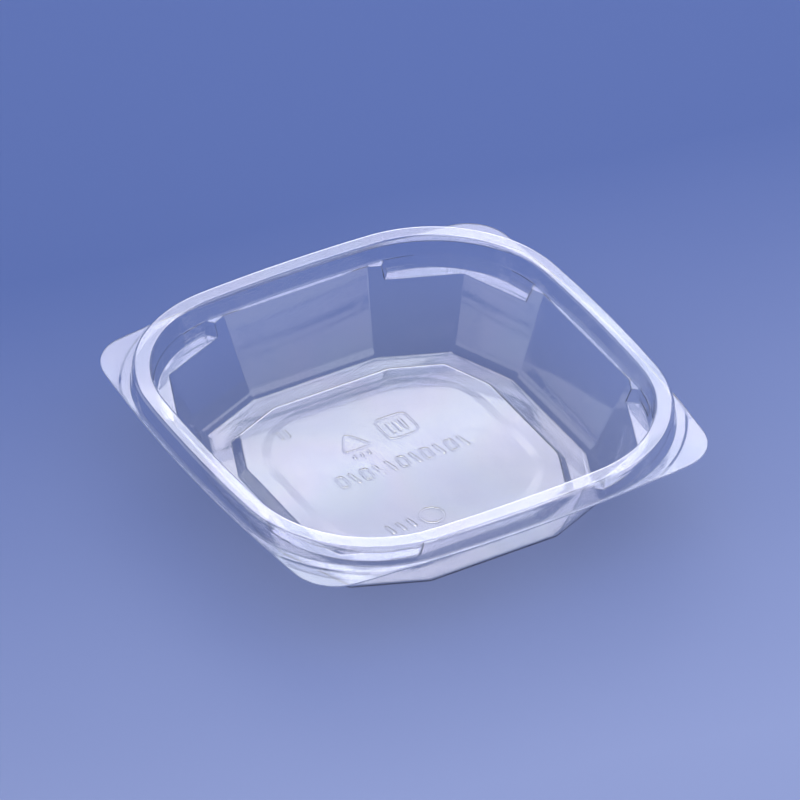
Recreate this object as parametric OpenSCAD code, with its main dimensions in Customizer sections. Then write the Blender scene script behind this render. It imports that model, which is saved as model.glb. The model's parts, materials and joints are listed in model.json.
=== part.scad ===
// Square clear plastic food tub, formed from one thin drafted sheet and open at the top.
// Everything is in millimetres, +Z is up and the tub stands on z = 0.
// The sheet is drawn as closed rings, from the flange edge over the rim and down to the floor,
// once for its upper face and once for its lower face.

/* [Overall] */
// height from the table to the top of the rim
tub_h = 30.6; // [26:0.2:45]
// width over the flat of the flange, side to side at mid side
flange_w = 140; // [136:1:150]
// sheet thickness after forming
sheet = 0.4; // [0.3:0.05:0.6]
// how far the centre of each bowed side lies behind the middle of the tub
bow_back = 408.6; // [300:10:800]

/* [Rim] */
// how far the flange edge stands out past the rim at mid side
flange_lip = 1.3; // [1.2:0.1:2.5]
// corner radius of the rim, measured on its outer edge
rim_corner_r = 42.4; // [40:0.2:45]
// width of the flat top of the rim
rim_top_w = 5.5; // [4.5:0.1:6.5]
// drop from the rim top to the flange and to the side ledge
rim_drop = 6.1; // [5:0.1:8]
// how far the foot of the outer rim wall stands out past its top edge
rim_foot = 0.5; // [0.3:0.05:0.6]
// rounding of the outer top edge of the rim
rim_outer_round = 1.2; // [0.8:0.1:1.6]
// rounding of the inner top edge of the rim
rim_inner_round = 0.9; // [0.7:0.1:1.2]
// inward lean of the inner rim wall per millimetre of drop
rim_inner_lean = 0.09; // [0.05:0.01:0.2]
// rounding between the inner rim wall and the side ledge
ledge_round = 0.8; // [0.5:0.1:0.9]

/* [Corner tabs] */
// corner radius of the flange, which leaves a pull tab at each corner
tab_corner_r = 13.4; // [10:0.2:18]
// distance of the crease between flange ring and tab from the rim edge
crease_off = 3.3; // [2.5:0.1:4]
// step down of the tab at the crease
crease_step = 0.25; // [0.1:0.05:0.3]
// width over which the crease steps down
crease_w = 0.5; // [0.3:0.1:0.8]

/* [Body walls] */
// half width of the twelve-sided body at ledge level, across the sides
body_half_w = 61.1; // [60:0.1:61.3]
// half length of each side panel at ledge level
panel_half_l = 23.9; // [22:0.1:24.4]
// inward lean of the side panels per millimetre of drop
side_lean = 0.415; // [0.3:0.005:0.46]
// inward lean of the corner facets per millimetre of drop
facet_lean = 0.44; // [0.35:0.01:0.48]
// inside radius of the bend from wall to floor
foot_bend_r = 5; // [2:0.2:5.6]

/* [Corner pockets] */
// drop from the rim top to the floor of each corner pocket
pocket_drop = 10; // [9:0.1:13]
// half length of a pocket at ledge level, along its corner cut
pocket_half_top = 22.7; // [22:0.1:23]
// half length of a pocket at its floor
pocket_half_floor = 21.5; // [19:0.1:21.8]
// turn of the pocket end walls away from the corner diagonal, in degrees
pocket_end_turn = 8; // [4:1:12]
// small set-in of the pocket back wall just under ledge level
pocket_jog = 0.12; // [0.05:0.01:0.3]
// how far the foot of the pocket back wall lies inside its top
pocket_back_in = 0.95; // [0.6:0.05:1.3]
// length of the set-in pad at each end of the pocket back wall
pad_l = 6.5; // [3:0.5:9]
// how far each pad is set in, once at ledge level and once more at its foot
pad_in = 0.35; // [0.2:0.05:0.5]
// height of the pad's foot above the pocket floor
pad_foot = 0.8; // [0.7:0.1:1.5]

/* [Floor] */
// height of the raised centre panel above the foot ring
panel_rise = 2.6; // [1.5:0.1:4]
// half width of the raised panel top across its sides
floor_panel_half_w = 40.6; // [37:0.2:42]
// half length of each long edge of the raised panel top
floor_panel_half_l = 19.2; // [14:0.2:20]
// plan width of the sloping step around the panel
panel_step_w = 2; // [1.5:0.1:2.8]
// half width of the faintly raised rounded field on the panel
field_half_w = 34.6; // [30:0.2:36]
// corner radius of that field
field_corner_r = 22; // [18:0.5:28]
// height of that field above the panel
field_rise = 0.15; // [0.1:0.05:0.3]

/* [Hidden] */

// rim and flange outlines: bowed sides and round corners with shared bow centres
rim_half = flange_w / 2 - flange_lip;
rim_bow = rim_half + bow_back;
rim_c = corner_centre(rim_bow - rim_corner_r);
flange_bow = flange_w / 2 + bow_back;
tab_c = corner_centre(flange_bow - tab_corner_r);
field_bow = field_half_w + bow_back;
field_c = corner_centre(field_bow - field_corner_r);

// levels
flange_z = tub_h - rim_drop;
ledge_z = flange_z;
pocket_z = tub_h - pocket_drop;
floor_z = sheet;

// angles of the leaning walls off the vertical
outer_a = atan(rim_foot / rim_drop);
inner_a = atan(rim_inner_lean);
side_a = atan(side_lean);
facet_a = atan(facet_lean);

// the corner facets stand a quarter of a right angle off the sides
turn = 22.5;
facet_half = body_half_w * cos(turn) + panel_half_l * sin(turn);
floor_panel_p = floor_panel_half_w * cos(turn) + floor_panel_half_l * sin(turn);

// centre of the bend from wall to floor, across the sides and across the facets
bend_z = floor_z + foot_bend_r;
bend_s = body_half_w - side_lean * (ledge_z - floor_z) - foot_bend_r * tan((90 - side_a) / 2);
bend_p = facet_half - facet_lean * (ledge_z - floor_z) - foot_bend_r * tan((90 - facet_a) / 2);

// stations of every ring, counted over one eighth from mid side to corner diagonal
// 0 to side_n lie on a side panel, end_n on the ledge where a pocket starts,
// end_n + 1 to end_n + 3 on the pad next to a pocket's end wall, and last_n on the diagonal
side_n = 3;
end_n = 4;
pad_n = end_n + 3;
last_n = 13;

// distance of a round corner's centre from the middle, when its bow centre is reach away
function corner_centre(reach) = (sqrt(2 * reach * reach - bow_back * bow_back) - bow_back) / 2;

// share of the way along a pocket at station j: the pad first, a short step, then the middle
pad_share = pad_l / pocket_half_floor;
function pocket_share(j) =
    j <= pad_n
        ? pad_share * (j - end_n - 1) / 2
        : mix(pad_share + 0.02, 1, (j - pad_n - 1) / (last_n - pad_n - 1));

function mix(a, b, f) = a * (1 - f) + b * f;
function shift(p, dx, dz) = [p[0] + dx, p[1] + dz];

// offsets from the rim edge of the outer and inner rim wall at height z, upper face
function outer_off(z) = rim_foot * (tub_h - z) / rim_drop;
function inner_off(z) = -rim_top_w - rim_inner_lean * (tub_h - z);

// distance from the middle of a leaning wall and its bend at height z
// grow is the sheet thickness added on the outside
function wall_at(z, half, lean, a, bend, grow) =
    z >= bend_z - (foot_bend_r + grow) * sin(a)
        ? half - lean * (ledge_z - z) + grow / cos(a)
        : bend + sqrt(max(0, pow(foot_bend_r + grow, 2) - pow(bend_z - z, 2)));
function side_at(z, grow) = wall_at(z, body_half_w, side_lean, side_a, bend_s, grow);
function facet_at(z, grow) = wall_at(z, facet_half, facet_lean, facet_a, bend_p, grow);

// pocket end wall in plan: distance n from the diagonal at distance d along it
pocket_mid = 64;
end_slope = tan(pocket_end_turn);
function end_half(level, grow) =
    (level == "top" ? pocket_half_top : pocket_half_floor) + grow / cos(pocket_end_turn);

// where the end wall meets a circle of radius rho round the corner centre
function end_on_arc(h, rho) =
    let (
        e = rim_c * sqrt(2),
        b = h - pocket_mid * end_slope,
        qa = 1 + end_slope * end_slope,
        qb = b * end_slope - e,
        qc = e * e + b * b - rho * rho,
        d = (-qb + sqrt(qb * qb - qa * qc)) / qa
    ) from_diagonal(d, b + d * end_slope);

// where the end wall meets the facet that stands p from the middle
function end_on_facet(h, p) =
    let (
        b = h - pocket_mid * end_slope,
        d = (p - b * sin(turn)) / (cos(turn) + end_slope * sin(turn))
    ) from_diagonal(d, b + d * end_slope);

// plan point from its distances along and off the diagonal
function from_diagonal(d, n) = [(d + n) / sqrt(2), (d - n) / sqrt(2)];

// angle round the corner centre of a plan point, and the two angles of a pocket's end
function angle_of(q) = atan2(q[1] - rim_c, q[0] - rim_c);
function end_angle(level, grow) =
    let (
        z = ledge_z - grow,
        inward = level == "top" ? 0 : pocket_back_in
    ) angle_of(end_on_arc(end_half(level, grow), rim_corner_r + back_off(z, grow) - inward));

// offset of the inner rim wall, counted to its outer side when grow is the sheet
function back_off(z, grow) = inner_off(z) + grow / cos(inner_a);

// direction of station j round the rim corner
function corner_angle(j, grow) =
    j == end_n
        ? end_angle("top", grow)
        : mix(end_angle("floor", grow), 45, pocket_share(j));

// point of station j at an offset from the rim edge
side_reach = asin((panel_half_l + 0.6) / (rim_bow + inner_off(ledge_z)));
function rim_point(j, off, z, grow) =
    j <= side_n
        ? let (a = side_reach * j / side_n)
            [(rim_bow + off) * cos(a) - bow_back, (rim_bow + off) * sin(a), z]
        : let (a = corner_angle(j, grow), r = rim_corner_r + off)
            [rim_c + r * cos(a), rim_c + r * sin(a), z];

// offset of the flange edge from the rim edge at station j
tab_phi = atan2(tab_c, tab_c + bow_back);
function edge_off(j) =
    j <= side_n ? flange_lip : corner_reach(corner_angle(j, 0)) - rim_corner_r;
function corner_reach(a) =
    let (
        far = ray_to_circle(rim_c + bow_back, rim_c, a, flange_bow),
        hit = [rim_c + far * cos(a) - tab_c, rim_c + far * sin(a) - tab_c]
    ) atan2(hit[1], hit[0]) > tab_phi && hit[0] > 0
        ? ray_to_circle(rim_c - tab_c, rim_c - tab_c, a, tab_corner_r)
        : far;

// length of a ray at angle a from the point (x, y) to a circle round the origin
function ray_to_circle(x, y, a, r) =
    let (b = x * cos(a) + y * sin(a)) -b + sqrt(b * b - x * x - y * y + r * r);

// rings of one eighth
function rim_ring(off, z, grow) = [for (j = [0 : last_n]) rim_point(j, off, z, grow)];

// flange rings: share 0 is the foot of the rim wall, 1 the edge; past the crease the tab is lower
function flange_ring(part, grow) = [
    for (j = [0 : last_n])
        let (
            edge = edge_off(j),
            room = edge - crease_off - crease_w,
            in_off = min(crease_off, mix(rim_foot, edge, 0.75)),
            out_off = min(crease_off + crease_w, mix(rim_foot, edge, 0.88)),
            step = crease_step * max(0, min(1, room / 1.5)),
            off = part == "edge" ? edge : part == "tab" ? out_off : in_off,
            drop = part == "ring" ? 0 : step
        )
            rim_point(j, off, flange_z - drop - grow, 0)
];

// twelve-sided rings: side distance s, facet distance p
function end_l(s, p) = (p - s * cos(turn)) / sin(turn);
function facet_share(j) =
    j == end_n ? 0.16 : mix(0.21, 1, pocket_share(j));
function body_point(j, s, p, z) =
    let (v = [s, end_l(s, p)], tip = p / (cos(turn) + sin(turn)))
        j <= side_n
            ? [s, v[1] * j / side_n, z]
            : concat(mix(v, [tip, tip], facet_share(j)), [z]);
function body_ring(s, p, z) = [for (j = [0 : last_n]) body_point(j, s, p, z)];
function wall_ring(z, grow) = body_ring(side_at(z, grow), facet_at(z, grow), z);

// lip of the body: at ledge level along the sides, at pocket level in the corners
function lip_point(j, grow) =
    let (
        zl = ledge_z - grow,
        zp = pocket_z - grow,
        pl = facet_at(zl, grow),
        pp = facet_at(zp, grow),
        start = end_on_facet(end_half("floor", grow), pp),
        tip = pp / (cos(turn) + sin(turn))
    )
        j <= side_n ? body_point(j, side_at(zl, grow), pl, zl)
        : j == end_n ? concat(end_on_facet(end_half("top", grow), pl), [zl])
        : concat(mix(start, [tip, tip], pocket_share(j)), [zp]);
function lip_ring(grow) = [for (j = [0 : last_n]) lip_point(j, grow)];

// rounding from the inner rim wall to the ledge; in the corners the wall goes straight on down
ledge_cz = ledge_z + ledge_round;
ledge_cx = inner_off(ledge_cz) - ledge_round / cos(inner_a);
function ledge_ring(a, grow) = [
    for (j = [0 : last_n])
        let (r = ledge_round + grow, z = ledge_cz - r * sin(a))
            rim_point(j, j <= end_n ? ledge_cx + r * cos(a) : back_off(z, grow), z, grow)
];

// rings down the pocket back wall; along the sides they lie on the ledge instead
// down is the drop below ledge level, back and pad the set-in of the middle and of the pads
function back_ring(down, back, pad, ledge_share, grow) = [
    for (j = [0 : last_n])
        let (z = ledge_z - grow)
            j <= end_n
                ? mix(rim_point(j, ledge_cx, z, grow), lip_point(j, grow), ledge_share)
                : rim_point(j, back_off(z, grow) - (j <= pad_n ? pad : back), z - down, grow)
];

// set-in at the top and the foot of the pad, and down to the pocket floor
pocket_depth = ledge_z - pocket_z;
pad_drop = pocket_depth - pad_foot;
pad_low_in = mix(pad_in, pocket_back_in - pad_in, 0.5);
back_low_in = mix(pocket_jog, pocket_back_in, pad_drop / pocket_depth);
function back_rings(grow) = [
    back_ring(0.12, pocket_jog, pad_in, 0.2, grow),
    back_ring(pad_drop - 0.12, back_low_in - 0.05, pad_low_in, 0.4, grow),
    back_ring(pad_drop, back_low_in, pad_low_in + pad_in, 0.6, grow),
    back_ring(pocket_depth, pocket_back_in, pocket_back_in, 0.8, grow)
];

// faint rounded field in the middle of the floor
field_phi = atan2(field_c, field_c + bow_back);
function field_ring(off, z) = [
    for (j = [0 : last_n])
        j <= side_n
            ? let (a = field_phi * j / side_n)
                [(field_bow + off) * cos(a) - bow_back, (field_bow + off) * sin(a), z]
            : let (
                a = mix(field_phi, 45, (j - side_n) / (last_n - side_n)),
                r = field_corner_r + off
            )
                [field_c + r * cos(a), field_c + r * sin(a), z]
];

// one eighth mirrored on the diagonal and turned four times makes a closed ring
function full_ring(eighth) = [
    for (i = [0 : 3])
        for (k = [0 : 2 * last_n - 1])
            let (
                q = k <= last_n ? eighth[k] : eighth[2 * last_n - k],
                x = k <= last_n ? q[0] : q[1],
                y = k <= last_n ? q[1] : q[0]
            )
                [x * cos(90 * i) - y * sin(90 * i), x * sin(90 * i) + y * cos(90 * i), q[2]]
];

// roundings of the rim, as [offset, height] points
function arc_pts(cx, cz, r, a0, a1, n) = [
    for (i = [0 : n]) [cx + r * cos(mix(a0, a1, i / n)), cz + r * sin(mix(a0, a1, i / n))]
];
outer_low = rim_outer_round * (1 - sin(outer_a));
outer_cx = outer_off(tub_h - outer_low) - rim_outer_round * cos(outer_a);
inner_low = rim_inner_round * (1 - sin(inner_a));
inner_cx = inner_off(tub_h - inner_low) + rim_inner_round * cos(inner_a);

// floor rings: the sloping step of the centre panel and the field on it
function floor_rings(grow) =
    let (w = grow * 0.4, z = floor_z - grow)
        concat(
            [
                for (q = [[panel_step_w + 0.4, 0], [panel_step_w - 0.4, 0.12], [0.5, 0.84], [0, 1]])
                    let (out = q[0] - w)
                        body_ring(floor_panel_half_w + out, floor_panel_p + out, z + q[1] * panel_rise)
            ],
            [field_ring(0.8, z + panel_rise), field_ring(0, z + panel_rise + field_rise)]
        );

// bend rings between the leaning walls and the flat of the floor
function bend_rings(grow, n) =
    let (r = foot_bend_r + grow, full = 90 - max(side_a, facet_a))
        [for (i = [n : -1 : 0]) wall_ring(bend_z - r * cos(full * i / n), grow)];

upper_face = concat(
    [flange_ring("edge", 0), flange_ring("tab", 0), flange_ring("ring", 0)],
    [
        rim_ring(rim_foot + 0.08, flange_z, 0),
        rim_ring(outer_off(flange_z + 0.4), flange_z + 0.4, 0)
    ],
    [
        for (q = arc_pts(outer_cx, tub_h - rim_outer_round, rim_outer_round, outer_a, 90, 3))
            rim_ring(q[0], q[1], 0)
    ],
    [
        for (q = arc_pts(inner_cx, tub_h - rim_inner_round, rim_inner_round, 90, 180 - inner_a, 3))
            rim_ring(q[0], q[1], 0)
    ],
    [for (k = [0 : 3]) ledge_ring(mix(inner_a, 90, k / 3), 0)],
    back_rings(0),
    [lip_ring(0)],
    bend_rings(0, 4),
    floor_rings(0)
);

lower_face = concat(
    [flange_ring("edge", sheet), flange_ring("tab", sheet), flange_ring("ring", sheet)],
    [
        rim_ring(outer_off(flange_z) - sheet / cos(outer_a) + 0.1, flange_z - sheet, 0),
        rim_ring(outer_off(flange_z + 0.3) - sheet / cos(outer_a), flange_z + 0.3, 0)
    ],
    [
        for (q = arc_pts(outer_cx, tub_h - rim_outer_round, rim_outer_round - sheet, outer_a, 90, 2))
            rim_ring(q[0], q[1], 0)
    ],
    [
        rim_ring(back_off(tub_h - sheet, sheet), tub_h - sheet, 0)
    ],
    [for (k = [0 : 2]) ledge_ring(mix(inner_a, 90, k / 2), sheet)],
    back_rings(sheet),
    [lip_ring(sheet)],
    bend_rings(sheet, 4),
    floor_rings(sheet)
);

// skin over a stack of rings, closed at both ends
module skin(rings) {
    n = len(rings);
    m = len(rings[0]);
    bands = [
        for (k = [0 : n - 2])
            for (i = [0 : m - 1])
                for (t = [0, 1])
                    let (a = k * m + i, b = k * m + (i + 1) % m)
                        t == 0 ? [a, b, b + m] : [a, b + m, a + m]
    ];
    first = [for (i = [m - 1 : -1 : 0]) i];
    last = [for (i = [0 : m - 1]) (n - 1) * m + i];
    polyhedron(
        points = [for (r = rings) for (p = r) p],
        faces = concat([first], bands, [last]),
        convexity = 8
    );
}

module tub() {
    lower = [for (i = [len(lower_face) - 1 : -1 : 0]) lower_face[i]];
    color([0.86, 0.88, 0.97, 0.45])
        skin([for (e = concat(lower, upper_face)) full_ring(e)]);
}

tub();
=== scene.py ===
# %% [markdown]
# # A clear plastic food tub
# The real object is one piece of clear sheet, 0.4 mm thick, drawn by heat over a mould into a
# square tub: a flat flange with four pull tabs, a hollow rim, narrow side ledges, four corner
# pockets, twelve leaning walls and a floor with a raised centre panel. We rebuild that sheet as
# one skin in Blender, give it its thickness, and light it the way clear plastic needs.

# %% Load the measured model as the frame
import json
import math

import bmesh
import bpy
from mathutils import Matrix, Vector

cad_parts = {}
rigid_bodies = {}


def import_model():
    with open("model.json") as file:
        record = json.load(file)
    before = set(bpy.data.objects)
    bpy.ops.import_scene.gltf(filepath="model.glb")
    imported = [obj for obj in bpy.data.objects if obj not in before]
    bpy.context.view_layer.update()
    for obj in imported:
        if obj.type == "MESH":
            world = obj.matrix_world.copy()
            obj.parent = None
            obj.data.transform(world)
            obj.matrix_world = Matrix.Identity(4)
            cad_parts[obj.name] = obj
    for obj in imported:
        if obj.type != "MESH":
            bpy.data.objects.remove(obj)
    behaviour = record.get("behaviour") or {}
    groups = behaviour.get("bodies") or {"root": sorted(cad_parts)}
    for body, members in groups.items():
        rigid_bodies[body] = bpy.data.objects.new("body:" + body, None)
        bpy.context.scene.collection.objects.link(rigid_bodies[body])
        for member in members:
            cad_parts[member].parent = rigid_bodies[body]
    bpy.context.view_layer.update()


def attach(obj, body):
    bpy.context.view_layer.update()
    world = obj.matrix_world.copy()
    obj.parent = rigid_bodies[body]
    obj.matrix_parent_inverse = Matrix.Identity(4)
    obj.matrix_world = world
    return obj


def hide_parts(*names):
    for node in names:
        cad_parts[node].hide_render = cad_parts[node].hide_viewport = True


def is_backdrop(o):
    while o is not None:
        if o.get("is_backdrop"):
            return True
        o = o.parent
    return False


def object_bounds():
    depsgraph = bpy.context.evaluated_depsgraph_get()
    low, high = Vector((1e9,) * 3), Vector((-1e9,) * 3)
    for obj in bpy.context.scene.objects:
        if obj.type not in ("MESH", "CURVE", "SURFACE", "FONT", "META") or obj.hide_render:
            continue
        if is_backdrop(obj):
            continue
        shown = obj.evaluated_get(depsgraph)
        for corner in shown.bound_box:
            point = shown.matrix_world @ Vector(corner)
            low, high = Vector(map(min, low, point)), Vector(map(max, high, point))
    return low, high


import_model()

# %% [markdown]
# ## The camera
# The photograph looks down at a bit under 37 degrees, from a corner of the tub, through a long
# lens, so the near and far rims come out almost the same size. The lens and the distance come
# from fitting the rim's outline. The aim is moved a little off the rim's centre, because the
# tub doesn't sit quite in the middle of the picture.

# %% Place the camera
view_turn, view_rise, view_roll = math.radians(59.413), math.radians(36.702), math.radians(0.280)
view_distance, view_lens = 3.5665, 562.7
aim_left, aim_down = 0.000785, 0.004755
rim_centre = Vector((0, 0, 0.0306))

back = Vector((math.sin(view_turn) * math.cos(view_rise),
               -math.cos(view_turn) * math.cos(view_rise), math.sin(view_rise)))
level = Vector((math.cos(view_turn), math.sin(view_turn), 0))
right = level * math.cos(view_roll) + back.cross(level) * math.sin(view_roll)
upward = back.cross(right)
aim = rim_centre - aim_left * right - aim_down * upward

camera = bpy.data.objects.new("camera", bpy.data.cameras.new("camera"))
camera.data.lens = view_lens
camera.data.sensor_width = 36
camera.data.clip_start, camera.data.clip_end = 0.1, 50
turned = Matrix((right, upward, back)).transposed().to_4x4()
camera.matrix_world = Matrix.Translation(aim + back * view_distance) @ turned
bpy.context.scene.collection.objects.link(camera)
bpy.context.scene.camera = camera
print("camera", round(view_lens, 1), "mm lens,", view_distance, "m away")

# %% [markdown]
# ## The sizes of the sheet
# All sizes are in millimetres and were measured on the photograph. The skin that we build is
# the sheet's upper face; its lower face follows from the thickness. The top of the rim falls
# by a tenth of a millimetre towards its outer edge, as a formed rim does.

# %% Named sizes
tub_height, sheet = 30.6, 0.4
flange_half, flange_lip, bow_back = 70.0, 1.3, 408.6
rim_corner, rim_top, rim_drop, rim_foot, rim_fall = 42.4, 5.5, 6.1, 0.5, 0.1
outer_round, inner_round, inner_lean, ledge_round = 1.2, 0.9, 0.09, 0.6
tab_corner, crease_off, crease_step, crease_width = 13.4, 3.3, 0.25, 0.5
body_half, panel_half, side_lean, facet_lean, foot_bend = 61.1, 23.9, 0.415, 0.44, 5.0
pocket_drop, pocket_top, pocket_floor, pocket_turn = 10.0, 22.7, 21.5, 8.0
pocket_jog, pocket_back_in, pad_long, pad_in, pad_foot = 0.12, 0.95, 6.5, 0.4, 0.8
panel_rise, floor_half, floor_panel_half, panel_step = 2.6, 40.6, 19.2, 2.0
field_half, field_corner, field_rise, field_slope = 34.6, 22.0, 0.06, 2.6

ledge_z = tub_height - rim_drop
pocket_z = tub_height - pocket_drop
floor_z = sheet
panel_z = floor_z + panel_rise
turn = math.radians(22.5)
facet_half = body_half * math.cos(turn) + panel_half * math.sin(turn)
floor_facet = floor_half * math.cos(turn) + floor_panel_half * math.sin(turn)
print("levels in mm: rim", tub_height, "ledge", ledge_z, "pocket", pocket_z, "panel", panel_z)

# %% [markdown]
# ## Folds
# Heated sheet never folds to a knife edge. Each fold is a small arc between two straight ways,
# and those arcs are what catches the light as thin bright and dark lines. One helper gives the
# points of any such fold, seen in section.

# %% A helper for folds in section
def fold(corner, way_in, way_out, radius, steps):
    """Points of the arc that rounds the corner between two ways, in section."""
    a, b = Vector(way_in).normalized(), Vector(way_out).normalized()
    bend = a.angle(b)
    side = 1 if a.x * b.y - a.y * b.x > 0 else -1
    inward = Vector((-a.y, a.x)) * side
    middle = Vector(corner) - a * radius * math.tan(bend / 2) + inward * radius
    points = []
    for i in range(steps + 1):
        angle = bend * i / steps
        points.append(tuple(middle + radius * (a * math.sin(angle) - inward * math.cos(angle))))
    return points


def mix(a, b, share):
    """A value part of the way from a to b."""
    return a + (b - a) * share


up_the_rim = (-rim_foot, rim_drop)
down_the_rim = (-inner_lean, -1)
across_the_rim = (-rim_top, rim_fall)
rim_section = (fold((rim_foot, ledge_z), (-1, 0), up_the_rim, 0.3, 4)
               + fold((0, tub_height - rim_fall), up_the_rim, across_the_rim, outer_round, 7)
               + fold((-rim_top, tub_height), across_the_rim, down_the_rim, inner_round, 6))
print("rim section:", len(rim_section), "points")

# %% [markdown]
# ## Outlines in plan
# The sides of the rim are very slightly bowed, and each corner is one large arc. The body under
# it has twelve flat walls. One eighth of the tub, from mid side to the corner diagonal, is
# enough, because the other seven are its mirror images.

# %% Arcs of the rim and of the flange
def corner_centre(reach):
    """How far a round corner's centre lies from the middle, on both axes."""
    return (math.sqrt(2 * reach * reach - bow_back * bow_back) - bow_back) / 2


rim_bow = flange_half - flange_lip + bow_back
rim_c = corner_centre(rim_bow - rim_corner)
flange_bow = flange_half + bow_back
tab_c = corner_centre(flange_bow - tab_corner)
field_bow = field_half + bow_back
field_c = corner_centre(field_bow - field_corner)


def reach_of_ray(x, y, angle, radius):
    """Length of a ray from (x, y) to a circle round the origin."""
    along = x * math.cos(angle) + y * math.sin(angle)
    return -along + math.sqrt(along * along - x * x - y * y + radius * radius)


def flange_reach(angle):
    """How far the flange edge lies from the rim's corner centre, in one direction."""
    far = reach_of_ray(rim_c + bow_back, rim_c, angle, flange_bow)
    hit = (rim_c + far * math.cos(angle) - tab_c, rim_c + far * math.sin(angle) - tab_c)
    if hit[0] > 0 and math.atan2(hit[1], hit[0]) > math.atan2(tab_c, tab_c + bow_back):
        far = reach_of_ray(rim_c - tab_c, rim_c - tab_c, angle, tab_corner)
    return far


print("rim corner centre at", round(rim_c, 2), "tab corner centre at", round(tab_c, 2), "mm")

# %% [markdown]
# ## Stations
# Every ring of the sheet has a point at the same stations along one eighth: some on the flat
# side panel, some round the upright fold beside it, some down the end wall of the pocket, and
# the rest along the pocket to the fold on the diagonal. The pocket's end wall is a short ramp
# with its own two folds, so the stations there have a height as well.

# %% Lay out the stations of one eighth
diagonal_start = 64.0
end_slope = math.tan(math.radians(pocket_turn))


def inner_off(z):
    """How far the inner wall stands off the rim's outer edge at height z."""
    return -rim_top - inner_lean * (tub_height - z)


def off_diagonal(d, n):
    """The point d along the diagonal and n off it."""
    return ((d + n) / math.sqrt(2), (d - n) / math.sqrt(2))


def end_on_arc(h, rho):
    """Where the pocket's end line meets a circle round the rim's corner centre."""
    e, b = rim_c * math.sqrt(2), h - diagonal_start * end_slope
    qa, qb, qc = 1 + end_slope ** 2, b * end_slope - e, e * e + b * b - rho * rho
    d = (-qb + math.sqrt(qb * qb - qa * qc)) / qa
    return off_diagonal(d, b + d * end_slope)


def end_on_facet(h, p):
    """Where the pocket's end line meets the corner facet that stands p from the middle."""
    b = h - diagonal_start * end_slope
    d = (p - b * math.sin(turn)) / (math.cos(turn) + end_slope * math.sin(turn))
    return off_diagonal(d, b + d * end_slope)


ramp_way = (pocket_top - pocket_floor, pocket_z - ledge_z)
ramp = (fold((-pocket_top, 0), (1, 0), ramp_way, 0.5, 4)
        + fold((-pocket_floor, pocket_z - ledge_z), ramp_way, (1, 0), 0.35, 4))
side_stations, upright_stations, tip_stations = 8, 5, 5
upright_round, tip_round = 1.8, 1.6

# along the back wall of a pocket: first the pad, then a short step, then the long middle
pad_end = 1.1 * pad_long / pocket_floor
step_end, tip_start = pad_end + 0.024, 0.86
pad_fades = ((0, 1.0), (0.25, 0.9), (0.5, 0.5), (0.75, 0.1), (1, 0.0))
pocket_places = [(pad_end * u, 1.0) for u in (0.1, 0.25, 0.45, 0.65, 0.82, 0.94)]
pocket_places += [(mix(pad_end, step_end, u), pad) for u, pad in pad_fades]
pocket_places += [(mix(step_end, tip_start, (i + 1) / 10), 0.0) for i in range(10)]
side_reach = math.asin((panel_half + 0.6) / (rim_bow + inner_off(ledge_z)))
fold_from, fold_to = 0.985, 1.015

stations = []
for i in range(side_stations):
    stations.append({"part": "side", "share": i / (side_stations - 1), "deep": 0.0, "pad": 0.0})
for i in range(upright_stations):
    stations.append({"part": "upright", "share": (i + 1) / upright_stations, "deep": 0.0, "pad": 0.0})
stations.append({"part": "facet", "share": 0.06, "deep": 0.0, "pad": 0.0})
for h, drop in ramp:
    stations.append({"part": "ramp", "half": -h, "deep": drop / (pocket_z - ledge_z), "pad": 1.0})
for place, pad in pocket_places:
    stations.append({"part": "pocket", "share": place / tip_start, "deep": 1.0, "pad": pad})
for i in range(tip_stations):
    stations.append({"part": "tip", "share": (i + 1) / tip_stations, "deep": 1.0, "pad": 0.0})

for s in stations:
    s["level"] = mix(ledge_z, pocket_z, s["deep"])
    if s["part"] == "ramp":
        x, y = end_on_arc(s["half"], rim_corner + inner_off(ledge_z) - pocket_back_in * s["deep"])
        s["angle"] = math.atan2(y - rim_c, x - rim_c)
        x, y = end_on_facet(s["half"], facet_half - facet_lean * (ledge_z - s["level"]))
        s["off"] = (x - y) / math.sqrt(2)
ramp_end = [s for s in stations if s["part"] == "ramp"][-1]
ramp_start = [s for s in stations if s["part"] == "ramp"][0]
tangent = math.atan2(rim_c, rim_c + bow_back)
for s in stations:
    if s["part"] == "side":
        s["angle"] = side_reach * s["share"] * fold_from
    elif s["part"] == "upright":
        s["angle"] = side_reach * mix(fold_from, fold_to, s["share"])
    elif s["part"] == "facet":
        s["angle"] = tangent * 0.999
    elif s["part"] == "pocket":
        s["angle"] = mix(ramp_end["angle"], math.radians(45), s["share"] * tip_start)
    elif s["part"] == "tip":
        s["angle"] = mix(ramp_end["angle"], math.radians(45), mix(tip_start, 1, s["share"]))
    s["bowed"] = s["part"] in ("side", "upright", "facet")
print("stations in one eighth:", len(stations))
print("ramp angles:", [round(math.degrees(s["angle"]), 2) for s in (ramp_start, ramp_end)])

# %% [markdown]
# ## Points of the rings
# Each helper gives one point of a ring at a station: on the rim, on the twelve-sided body, or
# on the soft-cornered field in the middle of the floor.

# %% Helpers for points on the rim, the body and the field
def on_rim(s, off, z):
    """A point at a distance off the rim's outer edge."""
    if s["bowed"]:
        r = rim_bow + off
        return (r * math.cos(s["angle"]) - bow_back, r * math.sin(s["angle"]), z)
    r = rim_corner + off
    return (rim_c + r * math.cos(s["angle"]), rim_c + r * math.sin(s["angle"]), z)


def upright_corner(side, facet):
    """The corner between a side panel and its facet, and the tip on the diagonal."""
    y = (facet - side * math.cos(turn)) / math.sin(turn)
    tip = facet / (math.cos(turn) + math.sin(turn))
    return Vector((side, y)), Vector((tip, tip))


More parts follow.
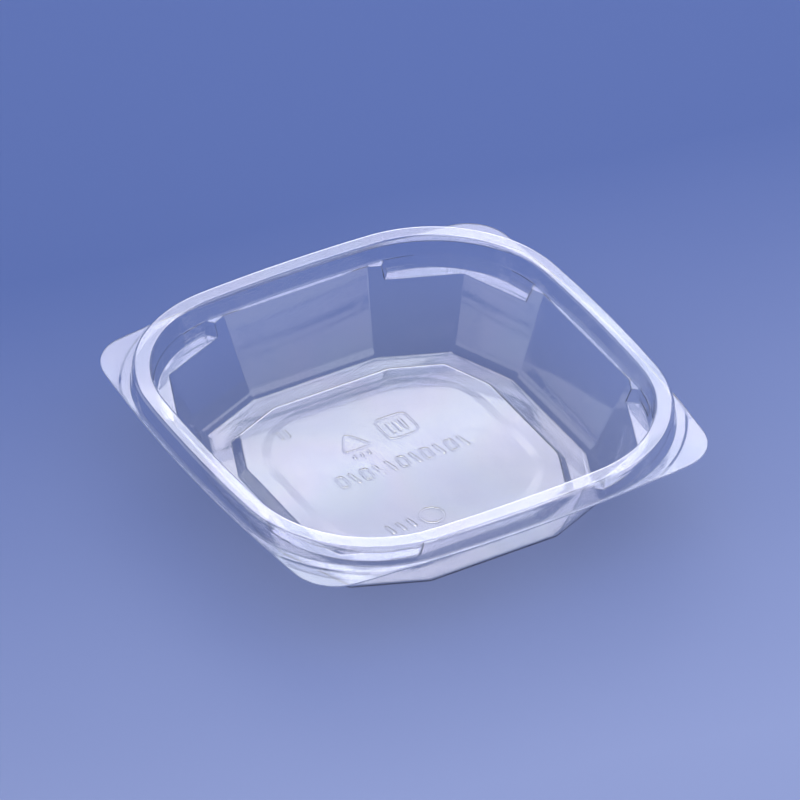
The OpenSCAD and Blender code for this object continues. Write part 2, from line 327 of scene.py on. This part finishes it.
def on_body(s, side, facet, z, soft=1.0):
    """A point on the body whose walls stand side and facet from the middle."""
    corner, tip = upright_corner(side, facet)
    span = (tip - corner).length
    r1, r2 = upright_round * soft, tip_round * soft
    t1, t2 = r1 * math.tan(turn / 2), r2 * math.tan(turn)
    if s["part"] == "side":
        return (side, (corner.y - t1) * s["share"], z)
    if s["part"] == "upright":
        a = turn * s["share"]
        return (side - r1 * (1 - math.cos(a)), corner.y - t1 + r1 * math.sin(a), z)
    first, last = t1 / span, 1 - t2 / span
    if s["part"] == "tip":
        a = mix(turn, math.radians(45), s["share"])
        middle = tip - Vector((1, 1)).normalized() * r2 / math.cos(turn)
        return (middle.x + r2 * math.cos(a), middle.y + r2 * math.sin(a), z)
    if s["part"] == "facet":
        f = s["share"]
    elif s["part"] == "ramp":
        f = ramp_shares[s["half"]]
    else:
        f = mix(ramp_shares[ramp_end["half"]], last, s["share"])
    point = mix(corner, tip, max(f, first))
    return (point.x, point.y, z)


ramp_shares = {}
for s in stations:
    if s["part"] == "ramp":
        lean = facet_lean * (ledge_z - s["level"])
        corner, tip = upright_corner(body_half - side_lean * (ledge_z - s["level"]), facet_half - lean)
        ramp_shares[s["half"]] = 1 - s["off"] * math.sqrt(2) / (corner.x - corner.y)


def on_lip(s, side, facet, z):
    """A point of the body's lip: on a ramp it keeps to the ramp's own line."""
    if s["part"] == "ramp":
        return (*end_on_facet(s["half"], facet), z)
    return on_body(s, side, facet, z)


def on_field(s, off, z):
    """A point of the soft-cornered field in the middle of the floor."""
    start = math.atan2(field_c, field_c + bow_back)
    n = stations.index(s)
    if s["part"] == "side":
        a, r = start * s["share"], field_bow + off
        return (r * math.cos(a) - bow_back, r * math.sin(a), z)
    a = mix(start, math.radians(45), (n - side_stations + 1) / (len(stations) - side_stations))
    r = field_corner + off
    return (field_c + r * math.cos(a), field_c + r * math.sin(a), z)


print("pocket end line along the facet:", [round(v, 3) for v in ramp_shares.values()])

# %% [markdown]
# ## The rings, from the flange edge down to the floor
# A ring is a function from a station to a point. The list goes over the flange, its crease, the
# hollow rim, the inner wall, the ledge or pocket, the lip, the leaning wall, the wide bend at
# its foot, the foot ring and the step up to the centre panel.

# %% Flange and rim rings
def edge_off(s):
    """How far the flange edge stands off the rim at a station."""
    return flange_lip if s["bowed"] else flange_reach(s["angle"]) - rim_corner


def flange_ring(stop, drop_share):
    """A ring on the flange; past the crease the tab lies a little lower."""
    def point(s):
        edge = edge_off(s)
        room = max(0.0, min(1.0, (edge - crease_off - crease_width) / 1.5))
        rings = {"edge": edge, "mid": mix(crease_off + crease_width + 0.3, edge, 0.5),
                 "low": crease_off + crease_width + 0.3, "fall": crease_off + crease_width,
                 "rise": crease_off, "high": crease_off - 0.3}
        squeeze = {"edge": 1, "mid": 0.93, "low": 0.86, "fall": 0.82, "rise": 0.72, "high": 0.66}
        off = min(rings[stop], mix(rim_foot + 0.3, edge, squeeze[stop]))
        if stop == "mid" and edge > crease_off + crease_width + 1:
            off = rings["mid"]
        return on_rim(s, off, ledge_z - crease_step * room * drop_share)
    return point


def rim_ring(off, z):
    """A ring that stands off the rim's outer edge at height z."""
    return lambda s: on_rim(s, off, z)


rings = [flange_ring("edge", 1), flange_ring("mid", 1), flange_ring("low", 1),
         flange_ring("fall", 0.93), flange_ring("rise", 0.07), flange_ring("high", 0)]
flange_rings = len(rings)
rings += [rim_ring(off, z) for off, z in rim_section]
print("rings down to the inner edge of the rim:", len(rings))

# %% Inner wall, ledge, pocket and lip rings
ledge_fold = fold((inner_off(ledge_z), ledge_z), down_the_rim, (-1, 0), ledge_round, 8)
flat_stride = 0.06
ledge_section = ([(inner_off(ledge_z + up), ledge_z + up) for up in (1.6, 1.3, 1.05)] + ledge_fold
                 + [(ledge_fold[-1][0] - flat_stride * i, ledge_z) for i in range(1, 5)])
top_step = ((0.30, 0), (0.10, 0.02), (0.02, 0.15), (-0.03, 0.85), (-0.10, 0.98), (-0.25, 1))
foot_step = ((-0.14, 0), (-0.05, 0.1), (0.0, 0.5), (0.05, 0.9), (0.14, 1))
pocket_depth = ledge_z - pocket_z
foot_fold = fold((inner_off(ledge_z) - pocket_back_in, pocket_z), (-0.2, -1), (-1, 0), 0.45, 4)


def pocket_section(pad):
    """The inner wall and a pocket's back in section; pad is 1 on a pad and 0 between them."""
    first = mix(pocket_jog, pad_in, pad)
    points = [(inner_off(ledge_z + max(up, 0)) - first * share, ledge_z + up) for up, share in top_step]
    for down, share in foot_step:
        depth = pocket_depth - pad_foot + down
        middle = mix(pocket_jog, pocket_back_in, depth / pocket_depth)
        on_pad = mix(pad_in + 0.08, pocket_back_in - 0.08, share)
        points.append((inner_off(ledge_z) - mix(middle, on_pad, pad), ledge_z - depth))
    return points + foot_fold


def wall_foot(s, i, pads=1.0):
    """Point i down the inner wall, mixed between ledge and pocket floor on the ramp."""
    in_pocket = pocket_section(s["pad"] * pads)[i]
    off, z = mix(Vector(ledge_section[i]), Vector(in_pocket), s["deep"])
    return on_rim(s, off, z)


def lip(s, i, steps=4):
    """Point i of the fold from the ledge or the pocket floor into the leaning wall."""
    r = mix(0.4, 0.7, s["deep"])
    out, z = fold((0, s["level"]), (-1, 0), (-side_lean, -1), r, steps)[i]
    drop = ledge_z - s["level"]
    return on_lip(s, body_half - side_lean * drop + out, facet_half - facet_lean * drop + out, z)


def flat_ring(share):
    """A ring on the flat of the ledge or pocket, between the two folds."""
    last = len(ledge_section) - 1
    return lambda s: tuple(mix(Vector(wall_foot(s, last)), Vector(lip(s, 0)), share))


first_foot = len(rings)
rings += [lambda s, i=i: wall_foot(s, i) for i in range(len(ledge_section))]
rings += [flat_ring(1 / 3), flat_ring(2 / 3)]
rings += [lambda s, i=i: lip(s, i) for i in range(5)]
print("rings down to the lip of the body:", len(rings))

# %% Wall, bend and floor rings
side_angle, facet_angle = math.atan(side_lean), math.atan(facet_lean)
bend_z, bend_steps = floor_z + foot_bend, 9


def bend_centre(half, lean, angle):
    """How far the centre of the bend at a wall's foot stands from the middle."""
    wall = half - lean * (ledge_z - floor_z)
    return wall - foot_bend * math.tan((math.pi / 2 - angle) / 2)


bend_side = bend_centre(body_half, side_lean, side_angle)
bend_facet = bend_centre(facet_half, facet_lean, facet_angle)


def wall_at(z, half, lean, angle, bend):
    """How far a leaning wall, or the bend at its foot, stands from the middle at height z."""
    if z >= bend_z - foot_bend * math.sin(angle):
        return half - lean * (ledge_z - z)
    return bend + math.sqrt(max(0.0, foot_bend ** 2 - (bend_z - z) ** 2))


def wall_ring(z):
    """A ring on the leaning walls, or on the bend at their feet, at height z."""
    return lambda s: on_body(s, wall_at(z, body_half, side_lean, side_angle, bend_side),
                             wall_at(z, facet_half, facet_lean, facet_angle, bend_facet), z)


rings += [wall_ring(z) for z in (19.2, 15.0, 10.0, 5.5)]
first_bend = len(rings)
steepest = math.pi / 2 - min(side_angle, facet_angle)
rings += [wall_ring(bend_z - foot_bend * math.cos(steepest * i / bend_steps))
          for i in range(bend_steps, -1, -1)]

step_way = (-panel_step, panel_rise)
panel_section = (fold((panel_step, floor_z), (-1, 0), step_way, 0.9, 5)
                 + fold((0, panel_z), step_way, (-1, 0), 0.9, 5))
rings += [lambda s, out=out, z=z: on_body(s, floor_half + out, floor_facet + out, z, 1.2)
          for out, z in panel_section]
print("rings in all:", len(rings))

# %% [markdown]
# ## Build the skin
# We start from a circle of loose edges with as many points as a ring, move it onto the first
# ring, and then extrude its edges once for each further ring and move the new points into
# place. That keeps neat bands of four-sided faces, which bend light smoothly.

# %% Helpers that extrude one ring after another
def eight_ways(point_at):
    """One eighth mirrored on the diagonal and turned four times, as a closed ring of points."""
    eighth = [Vector(point_at(s)) for s in stations]
    quarter = eighth + [Vector((p.y, p.x, p.z)) for p in reversed(eighth[1:-1])]
    quarter_turn = Matrix.Rotation(math.pi / 2, 3, "Z")
    ring = []
    for _ in range(4):
        ring += quarter
        quarter = [quarter_turn @ p for p in quarter]
    return ring


def first_ring(bm, points):
    """A circle of loose edges, moved onto a closed ring of points in millimetres."""
    verts = bmesh.ops.create_circle(bm, cap_ends=False, segments=len(points), radius=1)["verts"]
    for vert, point in zip(verts, points, strict=True):
        vert.co = Vector(point) * 0.001
    return verts


def ring_edges(bm, verts):
    """The edges of a closed ring, in order."""
    return [bm.edges.get((a, b)) for a, b in zip(verts, verts[1:] + verts[:1])]


def next_ring(bm, verts, points):
    """Extrudes a ring once, moves the new ring onto its points and keeps their order."""
    made = bmesh.ops.extrude_edge_only(bm, edges=ring_edges(bm, verts))["geom"]
    fresh = {g for g in made if isinstance(g, bmesh.types.BMVert)}
    ordered = [next(e.other_vert(v) for e in v.link_edges if e.other_vert(v) in fresh) for v in verts]
    for vert, point in zip(ordered, points, strict=True):
        vert.co = Vector(point) * 0.001
    return ordered


def draw_skin(bm, points):
    """A skin through a list of rings of points. Gives its rings, first to last."""
    loops = [first_ring(bm, points[0])]
    for ring in points[1:]:
        loops.append(next_ring(bm, loops[-1], ring))
    return loops


# %% [markdown]
# ## Two faces and the thickness between them
# The upper face is drawn first, and the lower face lies behind it by the thickness. The sheet
# keeps its full 0.4 mm on the flange and the floor, and is thinner where it was stretched over
# the rim and down the walls. The way back comes from a plainer copy without the small pads, so
# that no tight fold crosses itself.

# %% Extrude both faces from the flange edge to the centre panel
upper_points = [eight_ways(ring) for ring in rings]
plain_points = list(upper_points)
for i in range(len(ledge_section)):
    plain_points[first_foot + i] = eight_ways(lambda s, i=i: wall_foot(s, i, 0.0))

plain = bmesh.new()
plain_loops = draw_skin(plain, plain_points)
bmesh.ops.recalc_face_normals(plain, faces=plain.faces[:])
plain.normal_update()
sign = 1 if plain_loops[-2][0].normal.z > 0 else -1
stretched, longest_way = 0.25, 1.3
full_again = first_bend + bend_steps
lower_points = []
for n, (upper_ring, plain_ring) in enumerate(zip(upper_points, plain_loops)):
    flat = plain_ring is plain_loops[0] or plain_ring is plain_loops[-1]
    share = min(1, n / flange_rings, max(0, (full_again - n) / bend_steps))
    thickness = mix(sheet, stretched, share)
    lower_points.append([])
    for point, vert in zip(upper_ring, plain_ring):
        way_back = vert.normal * sign * min(vert.calc_shell_factor(), longest_way)
        lower_points[-1].append(point - (Vector((0, 0, 1)) if flat else way_back) * thickness)
plain.free()
print("thickness in mm:", sheet, "on the flats,", stretched, "where the sheet is stretched")

skin = bmesh.new()
upper_loops = draw_skin(skin, upper_points)
lower_loops = draw_skin(skin, lower_points)
cut = ring_edges(skin, upper_loops[0]) + ring_edges(skin, lower_loops[0])
cut_faces = bmesh.ops.bridge_loops(skin, edges=cut)["faces"]
print("skin:", len(skin.faces), "faces,", len(upper_loops[0]), "points to a ring")

# %% [markdown]
# ## The field and the moulded marks in the floor
# The middle of the floor is raised by a hair inside a soft-cornered outline, and small marks
# stand up from it as ridges about as high. Ours are plain shapes: outlines of a square, a
# triangle and a ring, and rows of short bars and boxes. Each ridge is a loop that is extruded
# up, across and down again, and the flat floor between them is filled in last.

# %% Helpers for small moulded ridges
def grown(corners, by):
    """A plan outline with all its sides moved outwards."""
    out = []
    for i, corner in enumerate(corners):
        before, after = Vector(corners[i - 1]), Vector(corners[(i + 1) % len(corners)])
        a, b = (Vector(corner) - before).normalized(), (after - Vector(corner)).normalized()
        na, nb = Vector((a.y, -a.x)), Vector((b.y, -b.x))
        out.append(Vector(corner) + (na + nb) * by / (1 + na.dot(nb)))
    return out


def softened(corners, radius, z, steps=4):
    """The same outline with its corners rounded, as points at height z."""
    points = []
    for i, corner in enumerate(corners):
        before, after = corners[i - 1], corners[(i + 1) % len(corners)]
        points += [(*p, z) for p in fold(corner, corner - before, after - corner, radius, steps)]
    return points


ridge_height, ridge_half, ridge_slope = 0.08, 0.2, 0.2


def crisp(bm, *loops):
    """Marks the edges of rings as sharp, so that the flat beside them is shaded dead flat."""
    for loop in loops:
        for edge in ring_edges(bm, loop):
            edge.smooth = False


def ridge(bm, corners, radius, z, hollow=True, inside=()):
    """A ridge along an outline, or a solid bar, with other feet cut out of its middle."""
    def outline(by, height):
        return softened(grown(corners, by), radius + by, height)

    half = ridge_half if hollow else 0.0
    foot = first_ring(bm, outline(half + ridge_slope, z))
    top = next_ring(bm, foot, outline(half, z + ridge_height))
    if hollow:
        top = next_ring(bm, top, outline(-half, z + ridge_height))
        top = next_ring(bm, top, outline(-half - ridge_slope, z))
    border = [e for loop in (top, *inside) for e in ring_edges(bm, loop)]
    bmesh.ops.triangle_fill(bm, use_beauty=True, edges=border, normal=(0, 0, 1))
    crisp(bm, foot, top)
    return foot


def box_outline(x, y, wide, tall, lean=0.0):
    """Four corners of a bar, turned by an angle in degrees."""
    c, s = math.cos(math.radians(lean)), math.sin(math.radians(lean))
    return [Vector((x + a * c - b * s, y + a * s + b * c)) for a, b in
            ((-wide / 2, -tall / 2), (wide / 2, -tall / 2), (wide / 2, tall / 2), (-wide / 2, tall / 2))]


def round_outline(x, y, radius, corners, start=0.0):
    """Corners of a regular outline, such as a triangle or a near circle."""
    turns = [math.radians(start + 360 * i / corners) for i in range(corners)]
    return [Vector((x + radius * math.cos(a), y + radius * math.sin(a))) for a in turns]


# %% Raise the field and set the marks
row_of_marks, row_x, row_start, row_pitch = "obobbobobob", 0.4, -20, 4


def draw_floor(bm, panel_edge, drop):
    """One face of the middle of the floor, some way below the upper face, with its marks."""
    low, high = panel_z - drop, panel_z + field_rise - drop
    section = (fold((field_slope / 2, low), (-1, 0), (-field_slope, field_rise), 6, 2)
               + fold((-field_slope / 2, high), (-field_slope, field_rise), (-1, 0), 6, 2))
    field = foot = first_ring(bm, eight_ways(lambda s: on_field(s, section[0][0], low)))
    for out, z in section[1:]:
        field = next_ring(bm, field, eight_ways(lambda s, out=out, z=z: on_field(s, out, z)))

    def bars_at(x, places, wide, tall, radius, lean=0.0):
        return [ridge(bm, box_outline(x, y, wide, tall, lean), radius, high, False) for y in places]

    bars = bars_at(-15.3, (5.0, 7.1, 9.2), 5.2, 0.9, 0.35)
    feet = [
        ridge(bm, box_outline(-15.3, 7.1, 10.2, 10.2), 2.2, high, inside=bars),
        ridge(bm, round_outline(-14.0, -8.2, 5.6, 3, 180), 1.2, high),
        ridge(bm, round_outline(26.4, -5.7, 3.6, 12), 0.9, high),
    ]
    for i, kind in enumerate(row_of_marks):
        y = row_start + row_pitch * i
        if kind == "o":
            feet.append(ridge(bm, box_outline(row_x, y, 5.0, 2.5), 0.75, high))
        else:
            feet += bars_at(row_x, (y,), 5.2, 0.8, 0.3, 12)
    feet += bars_at(26.6, (-12.5, -16, -19.5), 4.0, 0.8, 0.3, 12)
    feet += bars_at(-8.3, (-11, -8.6, -6.2), 1.8, 0.6, 0.22)
    feet += bars_at(-27.6, (-24.4, -22.2), 3.4, 0.7, 0.25)

    border = ring_edges(bm, panel_edge) + ring_edges(bm, foot)
    bmesh.ops.triangle_fill(bm, use_beauty=True, edges=border, normal=(0, 0, 1))
    border = ring_edges(bm, field) + [e for loop in feet for e in ring_edges(bm, loop)]
    bmesh.ops.triangle_fill(bm, use_beauty=True, edges=border, normal=(0, 0, 1))
    crisp(bm, panel_edge, foot, field)
    return len(feet) + len(bars)


marks = draw_floor(skin, upper_loops[-1], 0.0)
draw_floor(skin, lower_loops[-1], sheet)
print("marks:", marks, "ridges; skin now has", len(skin.faces), "faces")

# %% [markdown]
# ## Make the piece
# Both faces and the cut edge now close the sheet all round. Its faces are turned outwards and
# shaded smooth, with sharp edges where the flange is cut and round the moulded marks. Weighted
# normals keep the flats flat right up to their folds.

# %% Turn the faces outwards and make the piece
for face in cut_faces:
    face.material_index = 1
bmesh.ops.recalc_face_normals(skin, faces=skin.faces[:])
if skin.calc_volume(signed=True) < 0:
    bmesh.ops.reverse_faces(skin, faces=skin.faces[:])
skin.normal_update()
for face in skin.faces:
    face.smooth = True
sharpest = math.radians(60)
for edge in skin.edges:
    if edge.calc_face_angle(0) > sharpest:
        edge.smooth = False
open_edges = sum(not e.is_manifold for e in skin.edges)
volume = skin.calc_volume(signed=True) * 1e9
print("sheet:", len(skin.faces), "faces,", open_edges, "open edges,", round(volume, 1), "mm3")

mesh = bpy.data.meshes.new("tub_sheet")
skin.to_mesh(mesh)
skin.free()
tub = bpy.data.objects.new("tub_sheet", mesh)
bpy.context.scene.collection.objects.link(tub)
even = tub.modifiers.new("even_flats", "WEIGHTED_NORMAL")
even.mode, even.keep_sharp = "FACE_AREA", True
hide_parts("tub")
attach(tub, "root")

# %% [markdown]
# ## Clear plastic
# The sheet is polished clear plastic with a faint cool tint. Drawing it over the mould leaves
# it very slightly wavy, with fine flow lines, and strained enough to show pale rainbow tints.
# Lamps should reach the floor through it, so rays from lamps meet a clear stand-in instead.

# %% Helpers for materials
def new_material(name):
    """A material with its nodes, its links and its main shader."""
    material = bpy.data.materials.new(name)
    material.use_nodes = True
    tree = material.node_tree
    return material, tree.nodes, tree.links, tree.nodes["Principled BSDF"]


def noise(nodes, links, vector, scale, detail):
    """A noise texture read in object coordinates."""
    texture = nodes.new("ShaderNodeTexNoise")
    texture.inputs["Scale"].default_value = scale
    texture.inputs["Detail"].default_value = detail
    links.new(vector, texture.inputs["Vector"])
    return texture.outputs["Fac"]


def map_range(nodes, links, source, start, stop):
    """A node that maps the numbers from start to stop, by default onto 0 to 1."""
    node = nodes.new("ShaderNodeMapRange")
    node.inputs["From Min"].default_value, node.inputs["From Max"].default_value = start, stop
    links.new(source, node.inputs["Value"])
    return node


def bump(nodes, links, height, strength, distance, under=None):
    """The normal of a bump, laid over another bump's normal where one is given."""
    node = nodes.new("ShaderNodeBump")
    node.inputs["Strength"].default_value = strength
    node.inputs["Distance"].default_value = distance
    links.new(height, node.inputs["Height"])
    if under:
        links.new(under, node.inputs["Normal"])
    return node.outputs["Normal"]


# %% [markdown]
# The polished faces and the cut edge are both a little uneven: tint and gloss drift from place
# to place, over a fine grain. That shared effect is one node group with named inputs, which is
# placed in each material with its own values.

# %% A node group for an uneven finish
uneven = bpy.data.node_groups.new("uneven_finish", "ShaderNodeTree")
uneven_inputs = [("Vector", "NodeSocketVector"), ("First Colour", "NodeSocketColor"),
                 ("Second Colour", "NodeSocketColor"), ("Least Roughness", "NodeSocketFloat"),
                 ("Most Roughness", "NodeSocketFloat"), ("Grain Roughness", "NodeSocketFloat")]
uneven_inputs += [(f"{name} {kind}", "NodeSocketFloat") for name in ("Tint", "Gloss", "Grain")
                  for kind in ("Scale", "Detail")]
for name, kind in uneven_inputs:
    uneven.interface.new_socket(name, in_out="INPUT", socket_type=kind)
for name, kind in (("Colour", "NodeSocketColor"), ("Roughness", "NodeSocketFloat"),
                   ("Grain", "NodeSocketFloat")):
    uneven.interface.new_socket(name, in_out="OUTPUT", socket_type=kind)

nodes, links = uneven.nodes, uneven.links
given, result = nodes.new("NodeGroupInput"), nodes.new("NodeGroupOutput")
textures = {}
for name in ("Tint", "Gloss", "Grain"):
    textures[name] = nodes.new("ShaderNodeTexNoise")
    links.new(given.outputs["Vector"], textures[name].inputs["Vector"])
    links.new(given.outputs[f"{name} Scale"], textures[name].inputs["Scale"])
    links.new(given.outputs[f"{name} Detail"], textures[name].inputs["Detail"])
links.new(given.outputs["Grain Roughness"], textures["Grain"].inputs["Roughness"])

tint_share = map_range(nodes, links, textures["Tint"].outputs["Fac"], 0.35, 0.65)
tint = nodes.new("ShaderNodeMix")
tint.data_type = "RGBA"
for source, place in ((tint_share.outputs["Result"], 0), (given.outputs["First Colour"], 6),
                      (given.outputs["Second Colour"], 7)):
    links.new(source, tint.inputs[place])
gloss = map_range(nodes, links, textures["Gloss"].outputs["Fac"], 0.3, 0.7)
links.new(given.outputs["Least Roughness"], gloss.inputs["To Min"])
links.new(given.outputs["Most Roughness"], gloss.inputs["To Max"])
links.new(tint.outputs[2], result.inputs["Colour"])
links.new(gloss.outputs["Result"], result.inputs["Roughness"])
links.new(textures["Grain"].outputs["Fac"], result.inputs["Grain"])


def place_uneven(nodes, links, vector, shader, values):
    """Places the group in a material with its own values. Gives its grain."""
    node = nodes.new("ShaderNodeGroup")
    node.node_tree = uneven
    links.new(vector, node.inputs["Vector"])
    for name, value in values.items():
        node.inputs[name].default_value = value
    links.new(node.outputs["Colour"], shader.inputs["Base Color"])
    links.new(node.outputs["Roughness"], shader.inputs["Roughness"])
    return node.outputs["Grain"]


print("uneven finish:", len(uneven_inputs), "named inputs")

# %% The clear plastic
plastic, nodes, links, clear = new_material("clear_plastic")
place_on = nodes.new("ShaderNodeTexCoord").outputs["Object"]
clear.inputs["Transmission Weight"].default_value = 1.0
clear.inputs["IOR"].default_value = 1.57
clear.inputs["Thin Film IOR"].default_value = 1.56
film = map_range(nodes, links, noise(nodes, links, place_on, 22, 1), 0.3, 0.7)
film.inputs["To Min"].default_value, film.inputs["To Max"].default_value = 250, 600
links.new(film.outputs["Result"], clear.inputs["Thin Film Thickness"])
grain = place_uneven(nodes, links, place_on, clear, {
    "First Colour": (0.950, 0.956, 1.0, 1), "Second Colour": (0.980, 0.982, 1.0, 1),
    "Least Roughness": 0.03, "Most Roughness": 0.06,
    "Tint Scale": 28, "Tint Detail": 2, "Gloss Scale": 180, "Gloss Detail": 3,
    "Grain Scale": 900, "Grain Detail": 3, "Grain Roughness": 0.6})
waves = bump(nodes, links, noise(nodes, links, place_on, 45, 1), 0.16, 0.00005)
links.new(bump(nodes, links, grain, 0.1, 0.00001, waves), clear.inputs["Normal"])

for_lamps = nodes.new("ShaderNodeBsdfTransparent")
for_lamps.inputs["Color"].default_value = (0.955, 0.96, 0.985, 1)
which_ray = nodes.new("ShaderNodeLightPath")
either = nodes.new("ShaderNodeMixShader")
links.new(which_ray.outputs["Is Shadow Ray"], either.inputs["Fac"])
links.new(clear.outputs["BSDF"], either.inputs[1])
links.new(for_lamps.outputs["BSDF"], either.inputs[2])
links.new(either.outputs["Shader"], nodes["Material Output"].inputs["Surface"])
tub.data.materials.append(plastic)
print("clear plastic: index of refraction", round(clear.inputs["IOR"].default_value, 2))

# %% [markdown]
# The flange is cut with a steel rule, and the cut is left frosted. It is a paler line than the
# polished faces beside it.

# %% The frosted cut edge
frosted, nodes, links, edge_shader = new_material("cut_edge")
place_on = nodes.new("ShaderNodeTexCoord").outputs["Object"]
edge_shader.inputs["IOR"].default_value = 1.57
grain = place_uneven(nodes, links, place_on, edge_shader, {
    "First Colour": (0.55, 0.60, 0.78, 1), "Second Colour": (0.72, 0.76, 0.90, 1),
    "Least Roughness": 0.35, "Most Roughness": 0.55,
    "Tint Scale": 300, "Tint Detail": 3, "Gloss Scale": 900, "Gloss Detail": 2,
    "Grain Scale": 2500, "Grain Detail": 2, "Grain Roughness": 0.5})
links.new(bump(nodes, links, grain, 0.3, 0.00003), edge_shader.inputs["Normal"])
tub.data.materials.append(frosted)
print("cut edge:", sum(p.material_index == 1 for p in tub.data.polygons), "faces")

# %% [markdown]
# ## Floor and light
# The tub stands on plain blue paper. Its colour is painted darker away from the camera and paler
# towards it and a little to the right, which is painted shade where the light falls off, with a faint
# random cloud. Clear plastic shows mostly what it mirrors and bends, so a large soft box stands
# behind it, where the flat faces mirror it towards the camera. It is built from strips, dim at the
# bottom and bright at the top with one duller strip between, and it is tilted a little, which gives
# the flats their gradient. Three fill boxes at the sides are mirrored by the walls and the bends at
# their feet.

# %% The floor
floor_bm = bmesh.new()
bmesh.ops.create_grid(floor_bm, x_segments=1, y_segments=1, size=4)
bmesh.ops.translate(floor_bm, verts=floor_bm.verts[:], vec=(0, 0, -0.0001))
floor_mesh = bpy.data.meshes.new("floor")
floor_bm.to_mesh(floor_mesh)
floor_bm.free()
floor = bpy.data.objects.new("floor", floor_mesh)
bpy.context.scene.collection.objects.link(floor)
floor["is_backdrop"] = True

paper, nodes, links, surface = new_material("pale_floor")
place_on = nodes.new("ShaderNodeTexCoord").outputs["Object"]
# Painted shade: the paper's colour runs from dark far off to pale near the camera, standing in for light
# that falls off, plus a faint random cloud.
to_the_right = 0.36
painted_falloff_way = (Vector((back.x, back.y, 0)).normalized() + to_the_right * level).normalized()
along = nodes.new("ShaderNodeVectorMath")
along.operation = "DOT_PRODUCT"
along.inputs[1].default_value = painted_falloff_way
links.new(place_on, along.inputs[0])
cloud_and_painted_falloff = nodes.new("ShaderNodeMath")
cloud_and_painted_falloff.operation = "MULTIPLY_ADD"
cloud_and_painted_falloff.inputs[1].default_value = 0.03
links.new(noise(nodes, links, place_on, 6, 2), cloud_and_painted_falloff.inputs[0])
links.new(along.outputs["Value"], cloud_and_painted_falloff.inputs[2])
painted_falloff_share = map_range(nodes, links, cloud_and_painted_falloff.outputs["Value"], -0.11, 0.16)
# The two ends of the painted falloff: dark blue far from the camera, paler blue near it.
paper_with_painted_falloff = nodes.new("ShaderNodeValToRGB")
far_end, near_end = paper_with_painted_falloff.color_ramp.elements
far_end.color, near_end.color = (0.068, 0.123, 0.360, 1), (0.282, 0.342, 0.595, 1)
links.new(painted_falloff_share.outputs["Result"], paper_with_painted_falloff.inputs["Fac"])
links.new(paper_with_painted_falloff.outputs["Color"], surface.inputs["Base Color"])
surface.inputs["Roughness"].default_value = 0.6
surface.inputs["Specular IOR Level"].default_value = 0.25
floor.data.materials.append(paper)
print("floor at z = -0.1 mm")


# %% The lamps and the world
def soft_box(name, middle, facing, across, wide, tall, radiance, colour=(1, 1, 1)):
    """A rectangular lamp at a place, facing the tub, with one side along a given way."""
    lamp = bpy.data.lights.new(name, "AREA")
    lamp.shape, lamp.size, lamp.size_y = "RECTANGLE", wide, tall
    lamp.energy, lamp.color = radiance * math.pi * wide * tall, colour
    z = Vector(facing).normalized()
    x = (Vector(across) - z * z.dot(Vector(across))).normalized()
    box = bpy.data.objects.new(name, lamp)
    box.matrix_world = Matrix.Translation(middle) @ Matrix((x, z.cross(x), z)).transposed().to_4x4()
    bpy.context.scene.collection.objects.link(box)
    return box


def way(turn_degrees, rise_degrees):
    """A direction from its compass turn and its rise."""
    a, b = math.radians(turn_degrees), math.radians(rise_degrees)
    return Vector((math.cos(a) * math.cos(b), math.sin(a) * math.cos(b), math.sin(b)))


mirrored = Vector((-back.x, -back.y, back.z))
above = level.cross(mirrored).normalized()
tilt, back_distance, strip_length = math.radians(20), 2.0, 1.3
up_tilted = above * math.cos(tilt) + level * math.sin(tilt)
side_tilted = level * math.cos(tilt) - above * math.sin(tilt)
strip_edges = (-1.0, -0.105, -0.08, -0.055, -0.018, -0.006, 0.010, 0.018, 0.024, 0.042,
               0.055, 0.125, 0.21, 1.3)
strip_radiances = (2.4, 2.5, 2.8, 3.1, 4.0, 4.9, 4.2, 3.4, 2.8, 3.4, 4.0, 2.8, 4.2)
strip_colour = (0.95, 0.95, 1.0)
for n, radiance in enumerate(strip_radiances):
    low, high = strip_edges[n:n + 2]
    middle = mirrored * back_distance + up_tilted * (low + high) / 2
    soft_box(f"back_strip_{n}", middle, mirrored, side_tilted, strip_length, high - low,
             radiance, strip_colour)

fill_distance = 1.3
for name, turned, risen, wide, tall, radiance in (
        ("right_fill_low", 24, 11, 1.25, 0.60, 0.9), ("right_fill_high", 48, 45, 1.05, 0.85, 1.4),
        ("left_fill", 235, 20, 1.8, 1.0, 0.9)):
    facing = way(turned, risen)
    soft_box(name, facing * fill_distance, facing, way(turned + 90, 0), wide, tall, radiance)

world = bpy.data.worlds.new("studio")
world.use_nodes = True
world.node_tree.nodes["Background"].inputs["Color"].default_value = (0.62, 0.70, 0.95, 1)
world.node_tree.nodes["Background"].inputs["Strength"].default_value = 0.46
world.cycles.sampling_method = "MANUAL"
bpy.context.scene.world = world

scene = bpy.context.scene
scene.view_settings.view_transform = "Standard"
scene.cycles.max_bounces = 24
scene.cycles.transmission_bounces = 24
scene.cycles.transparent_max_bounces = 24
scene.cycles.glossy_bounces = 8
scene.cycles.caustics_refractive = False
scene.cycles.caustics_reflective = False

# %% [markdown]
# ## The size of the piece
# The finished piece should fill the same box as the measured model.

# %% Print the visual box
low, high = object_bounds()
print("visual box in mm:", [round(1000 * v, 2) for v in (*low, *high)])
